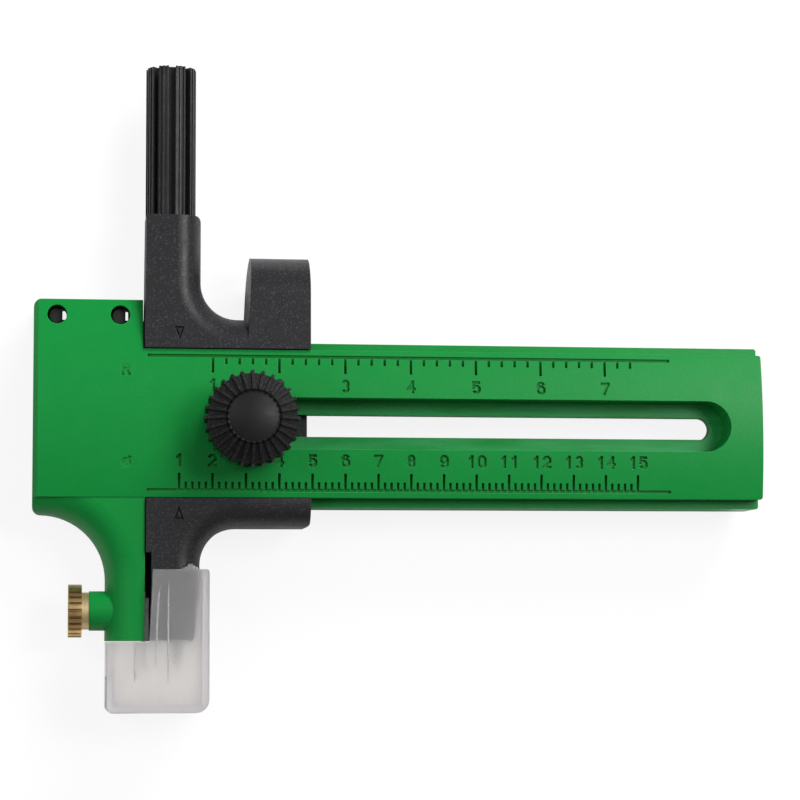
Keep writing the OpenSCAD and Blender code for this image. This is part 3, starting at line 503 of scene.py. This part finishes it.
def needle_steel():
    """Drawn and ground needle with fine lines along it."""
    n = Nodes("needle_steel")
    lines = n.noise(scale=900, detail=3, stretch=(3, 0.1, 3))
    tarnish = n.ramp(n.noise(scale=400, detail=4), start=0.35, end=0.7)
    base = n.mix(tarnish, NEEDLE, NEEDLE_TARNISH)
    roughness = n.spread(lines, low=0.2, high=0.36)
    normal = n.relief(lines, height=0.008 * MM, edge_radius=0.04 * MM, strength=0.5)
    return n.principled(base, roughness, normal, Metallic=1.0)


def plated_steel():
    """Zinc plating with cloudy spots."""
    n = Nodes("plated_steel")
    spots = n.ramp(n.noise(scale=900, detail=4), start=0.35, end=0.7)
    base = n.mix(spots, ZINC, ZINC_SPOT)
    roughness = n.spread(n.noise(scale=700, detail=4), low=0.28, high=0.45)
    grain = n.noise(scale=2500, detail=3)
    normal = n.relief(grain, height=0.01 * MM, edge_radius=0.08 * MM, strength=0.6)
    return n.principled(base, roughness, normal, Metallic=1.0)


def brass():
    """Turned brass, tarnished in spots, with painted shade in its grooves."""
    n = Nodes("brass")
    turning = n.noise(scale=1600, detail=3, stretch=(4, 0.3, 0.3))
    tarnish = n.ramp(n.noise(scale=500, detail=4), start=0.35, end=0.7)
    base = n.mix(tarnish, BRASS, BRASS_TARNISH)
    # Painted shade: brown-dark in the turned grooves
    hollows = n.hollows(distance=0.6 * MM, start=0.3, end=0.8, most=0.7)
    base = n.mix(hollows, base, BRASS_SHADE)
    roughness = n.spread(turning, low=0.34, high=0.46)
    normal = n.relief(turning, height=0.006 * MM, edge_radius=0.06 * MM, strength=0.6)
    return n.principled(base, roughness, normal, Metallic=1.0)


def brass_painted_bright():
    """Plain brass of the collar, its colour lighter than the turned screw's as a painted
    highlight.
    """
    n = Nodes("brass_painted_bright")
    turning = n.noise(scale=1800, detail=3, stretch=(5, 0.3, 0.3))
    tarnish = n.ramp(n.noise(scale=600, detail=4), start=0.35, end=0.7)
    # Lighter brass: a painted highlight on the collar
    base = n.mix(tarnish, COLLAR, COLLAR_TARNISH)
    roughness = n.spread(turning, low=0.44, high=0.56)
    normal = n.relief(turning, height=0.006 * MM, edge_radius=0.12 * MM, strength=0.6)
    return n.principled(base, roughness, normal, Metallic=0.8)


def clear_plastic():
    """Frosted clear plastic of the safety cap, with painted shade along its sides."""
    n = Nodes("clear_plastic")
    haze = n.spread(n.noise(scale=150, detail=4))
    base = n.mix(haze, CLEAR, CLEAR_HAZE)
    # Painted shade: greyer along the cap's left, right and bottom walls
    sides = n.near_sides(cap_low, cap_high, start=0.96 * MM, end=1.32 * MM)
    base = n.mix(sides, base, CLEAR_SIDE_SHADE)
    flow = n.noise(scale=260, detail=3, stretch=(4, 0.35, 1))
    streaks = n.ramp(flow, start=0.45, end=0.75, high=0.6)
    base = n.mix(streaks, base, CLEAR_STREAK)
    roughness = n.spread(n.noise(scale=380, detail=4), low=0.40, high=0.50)
    grain = n.noise(scale=900, detail=3)
    normal = n.relief(grain, height=0.02 * MM, edge_radius=0.12 * MM, strength=0.5)
    return n.principled(
        base, roughness, normal,
        Transmission_Weight=0.87,
        IOR=1.46,
        Sheen_Weight=0.12,
        Sheen_Roughness=0.7,
        Sheen_Tint=CLEAR_SHEEN,
    )


def rib_highlight_plastic():
    """Whiter, hardly clear plastic of the cap's ribs, a painted highlight along them."""
    n = Nodes("rib_highlight_plastic")
    haze = n.spread(n.noise(scale=900, detail=3))
    base = n.mix(haze, RIB_HIGHLIGHT, RIB_HIGHLIGHT_HAZE)
    roughness = n.spread(n.noise(scale=1200, detail=3), low=0.2, high=0.4)
    grain = n.noise(scale=2500, detail=3)
    normal = n.relief(grain, height=0.02 * MM, edge_radius=0.05 * MM, strength=0.6)
    return n.principled(base, roughness, normal, Transmission_Weight=0.1, IOR=1.46)


def dress():
    """Gives each node its material."""
    black = black_plastic()
    turned = brass()
    blade = blade_steel()
    plated = plated_steel()
    looks = {
        "arm_body": green_plastic(),
        "storage_cover": cover_plastic(),
        "spare_blades": blade,
        "cutting_blade": blade,
        "clamp_nut": plated,
        "clamp_collar": brass_painted_bright(),
        "clamp_screw": turned,
        "slider": black,
        "grip_post": black,
        "pivot_needle": needle_steel(),
        "lock_bolt": plated,
        "lock_washer": plated,
        "lock_knob": knob_plastic(),
        "knob_nut": turned,
        "safety_cap": clear_plastic(),
    }
    for name, material in looks.items():
        slots = nodes[name].data.materials
        slots.clear()
        slots.append(material)


# Small pieces of the safety cap

# How far the ribs stand out of the cap's front and how thick they are, front to back
RIB_RISE = 0.10 * MM
RIB_DEPTH = 0.5 * MM
RIB_STEPS = 16
# Half a rib's width at its very tips
RIB_TIP = 0.01 * MM
RIB_SWAY = 0.02 * MM
RIB_SWAY_RADIANS = 9

# Name, lower end, upper end and width. Ends are x from the blade and y from the cap's top edge
CAP_RIBS = (
    ("cap_rib_left", (1.55 * MM, -14.4 * MM), (2.05 * MM, -2.7 * MM), 0.30 * MM),
    ("cap_rib_right", (3.45 * MM, -17.0 * MM), (3.45 * MM, -1.6 * MM), 0.30 * MM),
    ("cap_rib_blade", (-1.45 * MM, -16.8 * MM), (-1.45 * MM, -11.4 * MM), 0.25 * MM),
)

# The flash's ends, from the cap's right side
FLASH_LEFT = 4.2 * MM
FLASH_RIGHT = 1.65 * MM
# Its front and back, behind the cap's front, and its root, below the cap's top edge
FLASH_FRONT = 0.25 * MM
FLASH_BACK = 0.70 * MM
FLASH_ROOT = 0.25 * MM
# Its crest from left to right, as shares of the full height
FLASH_HEIGHT = 0.9 * MM
FLASH_SHARES = (
    0.05, 0.35, 0.15, 0.55, 0.30, 0.75, 0.95,
    0.80, 0.98, 0.62, 0.70, 0.35, 0.45, 0.08,
)
# How much lower the crest is at its back
FLASH_SLOPE = 0.08 * MM
FLASH_LEAN = 0.12 * MM
FLASH_LEAN_RADIANS = 2.3


def mesh_piece(name, points, faces, material, body):
    """A closed mesh that rides on a body."""
    mesh = bpy.data.meshes.new(name)
    mesh.from_pydata(points, [], faces)
    mesh.materials.append(material)
    obj = bpy.data.objects.new(name, mesh)
    scene.collection.objects.link(obj)
    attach(obj, body)


def sweep_faces(sides, steps):
    """Both ends and the walls of a sweep, whose sections have as many points as sides."""
    end = sides * steps
    faces = [tuple(range(sides)), tuple(range(end + sides - 1, end - 1, -1))]
    for i in range(steps):
        a = sides * i
        b = a + sides
        for j in range(sides):
            k = (j + 1) % sides
            faces.append((a + k, a + j, b + j, b + k))
    return faces


def rib_line(name, foot, head, width, material):
    """A slender ridge on the cap's front wall, pointed at both ends."""
    top = cap_high.z + RIB_RISE
    low = top - RIB_DEPTH
    points = []
    for i in range(RIB_STEPS + 1):
        t = i / RIB_STEPS
        sway = RIB_SWAY * math.sin(RIB_SWAY_RADIANS * t)
        x = blade_x + foot[0] + (head[0] - foot[0]) * t + sway
        y = cap_high.y + foot[1] + (head[1] - foot[1]) * t
        half = width / 2 * math.sqrt(1 - (2 * t - 1) ** 4) + RIB_TIP
        points += [(x - half, y, low), (x + half, y, low), (x, y, top)]
    mesh_piece(name, points, sweep_faces(3, RIB_STEPS), material, "cap")


def ragged_edge(material):
    """The torn flash of moulding left on the cap's top edge."""
    left = cap_high.x - FLASH_LEFT
    right = cap_high.x - FLASH_RIGHT
    front = cap_high.z - FLASH_FRONT
    back = cap_high.z - FLASH_BACK
    root = cap_high.y - FLASH_ROOT
    last = len(FLASH_SHARES) - 1
    points = []
    for i, share in enumerate(FLASH_SHARES):
        x = left + (right - left) * i / last
        crest = cap_high.y + FLASH_HEIGHT * share
        lean = FLASH_LEAN * math.sin(FLASH_LEAN_RADIANS * i)
        points += [
            (x, root, front),
            (x, crest, front + lean / 2),
            (x, crest - FLASH_SLOPE, back + lean),
            (x, root, back),
        ]
    mesh_piece("cap_flash", points, sweep_faces(4, last), material, "cap")


def make_cap_pieces():
    """The ribs in a whiter plastic that paints their highlight, and the flash in the cap's own.
    """
    rib_highlight = rib_highlight_plastic()
    for name, foot, head, width in CAP_RIBS:
        rib_line(name, foot, head, width, rib_highlight)
    ragged_edge(nodes["safety_cap"].data.materials[0])


make_camera()
make_floor()
make_world()
for lamp in LAMPS:
    make_lamp(*lamp)
dress()
make_cap_pieces()
